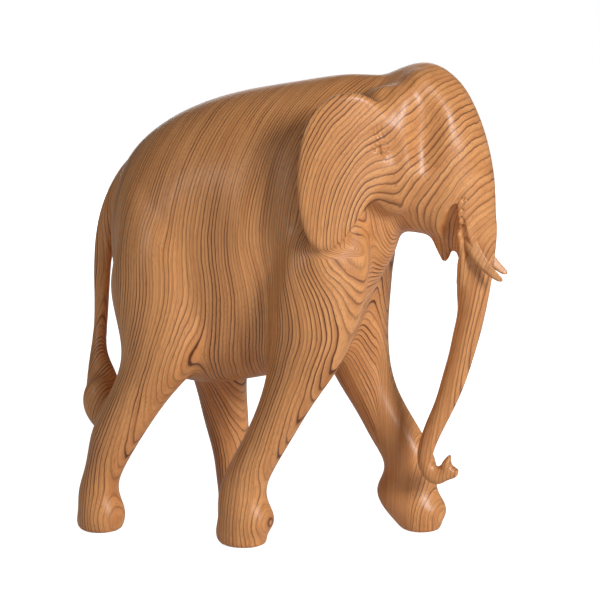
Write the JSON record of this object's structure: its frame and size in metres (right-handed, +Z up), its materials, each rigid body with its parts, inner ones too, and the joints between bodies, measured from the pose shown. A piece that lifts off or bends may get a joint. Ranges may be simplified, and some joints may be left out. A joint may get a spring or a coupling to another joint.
{
  "type": "carved wooden elephant figurine",
  "caption": "Walking elephant carved from one block of waxed hardwood, trunk hanging and curled at the tip, ears spread, with separate slender wooden tusks",
  "frame": {"origin": "on the surface that the soles stand on, under the middle of the bounding box", "axes": "+X the way the elephant walks, +Y its left side, +Z up"},
  "size_m": [0.273, 0.1274, 0.3],
  "materials": {
    "body_wood": "satin wax over dark-ringed straight-grained hardwood",
    "tusk_wood": "satin wax, plain wood with little figure"
  },
  "bodies": {
    "root": {"carved_body": "body_wood", "right_tusk": "tusk_wood", "left_tusk": "tusk_wood"}
  },
  "joints": []
}
